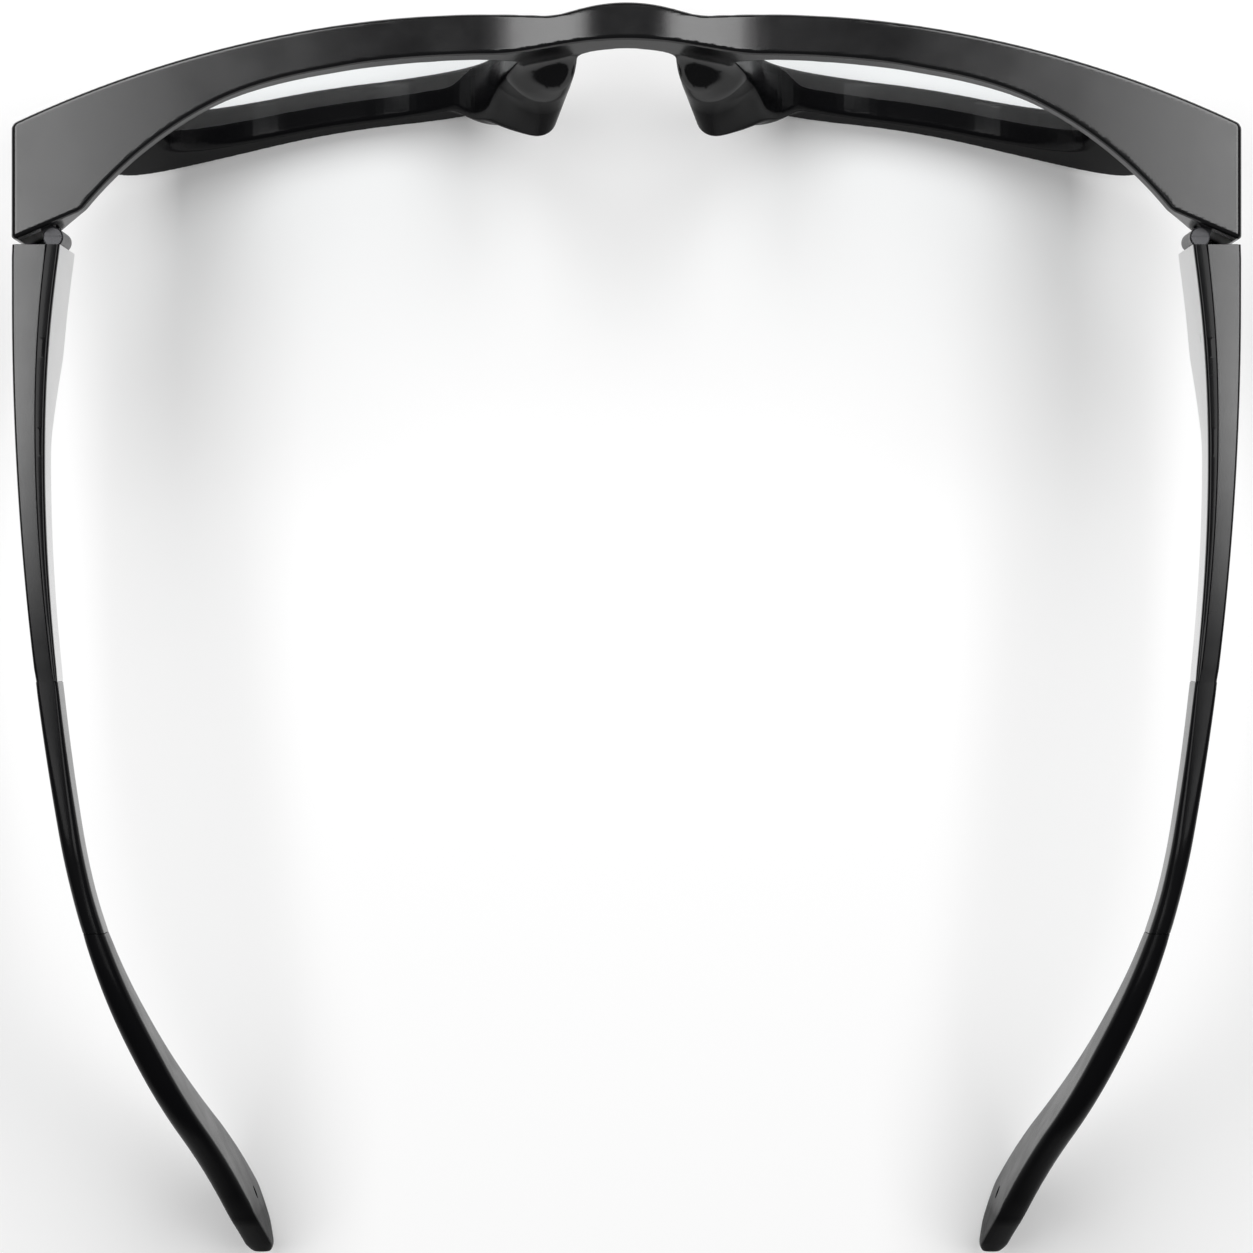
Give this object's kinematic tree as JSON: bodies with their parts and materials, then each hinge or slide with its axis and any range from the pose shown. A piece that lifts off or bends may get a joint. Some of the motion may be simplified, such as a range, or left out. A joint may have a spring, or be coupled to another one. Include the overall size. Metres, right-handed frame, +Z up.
{
  "type": "smart glasses",
  "caption": "Audio smart glasses with a deep wrap front, clear lenses, folding temples that hold the electronics, and hooked ear tips with lanyard holes.",
  "frame": {"origin": "centre of the bounding box in plan, on the ground that the rims and ear tips rest on", "axes": "+X to the wearer's left, -Y forward out of the lenses, +Y back along the temples, +Z up"},
  "size_m": [0.146, 0.1526, 0.045],
  "materials": {
    "frame": "satin black moulded nylon",
    "cover": "polished black moulded plastic",
    "ear_tip": "satin black moulded plastic",
    "lens": "clear, coated",
    "hinge": "blackened fine ground steel",
    "screws": "blackened turned steel",
    "battery": "foil pouch",
    "board": "green solder mask",
    "speaker": "moulded case",
    "mesh": "woven steel",
    "microphone": "gold-plated can",
    "film": "amber polyimide film",
    "contacts": "gold plate",
    "button": "fine matte",
    "switch": "moulded case",
    "light": "frosted clear"
  },
  "bodies": {
    "front": {"frame_front": "frame", "lens_left": "lens", "lens_right": "lens", "front_hinge_left": "hinge", "front_hinge_right": "hinge", "pivot_screw_left": "screws", "pivot_screw_right": "screws", "front_leaf_screws_left": "screws", "front_leaf_screws_right": "screws"},
    "temple_left": {"temple_shell_left": "frame", "temple_cover_left": "cover", "temple_hinge_left": "hinge", "temple_leaf_screws_left": "screws", "ear_tip_left": "ear_tip", "battery_left": "battery", "circuit_board_left": "board", "speaker_left": "speaker", "speaker_mesh_left": "mesh", "microphone_left": "microphone", "flex_cable_left": "film", "charge_contacts_left": "contacts"},
    "temple_right": {"temple_shell_right": "frame", "temple_cover_right": "cover", "temple_hinge_right": "hinge", "temple_leaf_screws_right": "screws", "ear_tip_right": "ear_tip", "battery_right": "battery", "circuit_board_right": "board", "speaker_right": "speaker", "speaker_mesh_right": "mesh", "microphone_right": "microphone", "flex_cable_right": "film", "charge_contacts_right": "contacts", "touch_sensor": "film", "button_switch": "switch", "status_light": "light"},
    "button": {"action_button": "button"}
  },
  "joints": [
    {"name": "left_fold", "type": "hinge", "parent": "front", "child": "temple_left", "pos_m": [0.0684, -0.04835, 0.036], "axis": [0, 0, 1], "range_deg": [0, 82]},
    {"name": "right_fold", "type": "hinge", "parent": "front", "child": "temple_right", "pos_m": [-0.0684, -0.04835, 0.036], "axis": [0, 0, -1], "range_deg": [0, 75]},
    {"name": "button_press", "type": "slide", "parent": "temple_right", "child": "button", "axis": [0, 0, 1], "range_m": [0, 0.0004], "stiffness_N_per_m": 1500}
  ]
}
